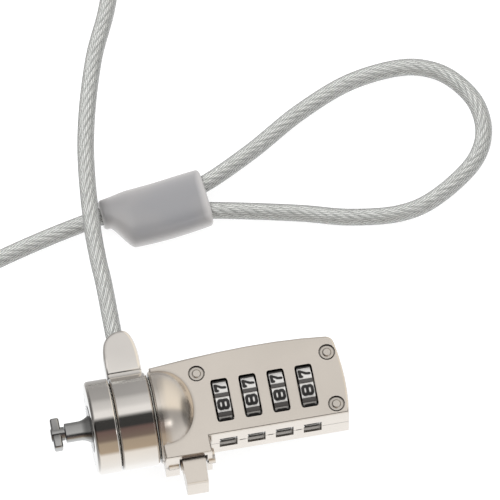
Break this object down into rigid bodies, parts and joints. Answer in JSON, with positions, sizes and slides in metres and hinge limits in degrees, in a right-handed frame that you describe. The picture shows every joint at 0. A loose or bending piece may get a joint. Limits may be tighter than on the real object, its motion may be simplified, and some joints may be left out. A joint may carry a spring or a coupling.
{
  "type": "laptop cable lock",
  "caption": "Combination cable lock for a laptop security slot: T-bar nose, swivel cable collar, numbered dials, push lever and a coiled steel cable ending in a crimped anchor loop.",
  "frame": {"origin": "centre of the T-bar's front face, on the barrel axis; the nose cap's seat is 8.25 mm behind it", "axes": "+X along the barrel from the T-bar to the dials, +Z out of the dial face, +Y along the cable socket"},
  "size_m": [0.2694, 0.2413, 0.0197],
  "materials": {
    "housing": "satin nickel plate with a fine blasted grain, on zinc die casting",
    "polished": "polished nickel-chrome plate with mirror-like bands",
    "steel": "turned hardened steel, satin",
    "dial": "bright nickel rings with black filled numerals and dark ribs",
    "brass": "machined brass",
    "nylon": "natural nylon",
    "spring": "spring steel wire and strip",
    "crimp": "pressed aluminium",
    "cable": "clear vinyl jacket over a twisted galvanised steel strand",
    "cover": "soft grey vinyl cover, satin"
  },
  "bodies": {
    "cable": {"cable_coil": "cable", "cable_loop": "cable", "crimp": "crimp", "sleeve_cover": "cover"},
    "collar": {"swivel_collar": "polished", "cable_stop": "crimp", "cable_lead": "cable"},
    "lock_body": {"front_shell": "housing", "back_shell": "housing", "rivet_1": "polished", "rivet_2": "polished", "rivet_3": "polished", "nose_cap": "polished", "guard_insert": "steel", "barrel_tube": "steel", "front_bush": "brass", "rear_bush": "brass", "front_washer": "nylon", "rear_washer": "nylon", "detent_comb": "spring", "code_spring": "spring", "lever_pin": "steel", "lever_spring": "spring"},
    "t_bar": {"t_bar": "steel", "pinion": "brass"},
    "lever": {"lever": "housing"},
    "code_bolt": {"code_shaft": "steel"},
    "reset": {"reset_screw": "brass"},
    "dial_1": {"dial_1": "dial", "cam_1": "brass"},
    "dial_2": {"dial_2": "dial", "cam_2": "brass"},
    "dial_3": {"dial_3": "dial", "cam_3": "brass"},
    "dial_4": {"dial_4": "dial", "cam_4": "brass"}
  },
  "joints": [
    {"name": "cable_flex", "type": "hinge", "parent": "cable", "child": "collar", "pos_m": [0.01655, 0.031, 0], "axis": [0, 0, 1], "range_deg": [-20, 20]},
    {"name": "lock_swivel", "type": "hinge", "parent": "collar", "child": "lock_body", "pos_m": [0.00825, 0, 0], "axis": [1, 0, 0], "continuous": true},
    {"name": "lever_swing", "type": "hinge", "parent": "lock_body", "child": "lever", "pos_m": [0.02525, -0.0102, 0], "axis": [1, 0, 0], "range_deg": [0, 30]},
    {"name": "t_bar_turn", "type": "hinge", "parent": "lock_body", "child": "t_bar", "pos_m": [0.00825, 0, 0], "axis": [-1, 0, 0], "range_deg": [0, 90]},
    {"name": "code_slide", "type": "slide", "parent": "lock_body", "child": "code_bolt", "axis": [-1, 0, 0], "range_m": [0, 0.0012]},
    {"name": "reset_turn", "type": "hinge", "parent": "lock_body", "child": "reset", "pos_m": [0.05875, -0.00055, 0], "axis": [1, 0, 0], "range_deg": [0, 90]},
    {"name": "dial_1_spin", "type": "hinge", "parent": "lock_body", "child": "dial_1", "pos_m": [0.03555, -0.00055, 0], "axis": [1, 0, 0], "continuous": true},
    {"name": "dial_2_spin", "type": "hinge", "parent": "lock_body", "child": "dial_2", "pos_m": [0.04138, -0.00055, 0], "axis": [1, 0, 0], "continuous": true},
    {"name": "dial_3_spin", "type": "hinge", "parent": "lock_body", "child": "dial_3", "pos_m": [0.04721, -0.00055, 0], "axis": [1, 0, 0], "continuous": true},
    {"name": "dial_4_spin", "type": "hinge", "parent": "lock_body", "child": "dial_4", "pos_m": [0.05304, -0.00055, 0], "axis": [1, 0, 0], "continuous": true}
  ],
  "couplings": [
    {"joint": "t_bar_turn", "follows": "lever_swing", "ratio": 3},
    {"joint": "code_slide", "follows": "lever_swing", "m_per_rad": 0.0022918}
  ]
}
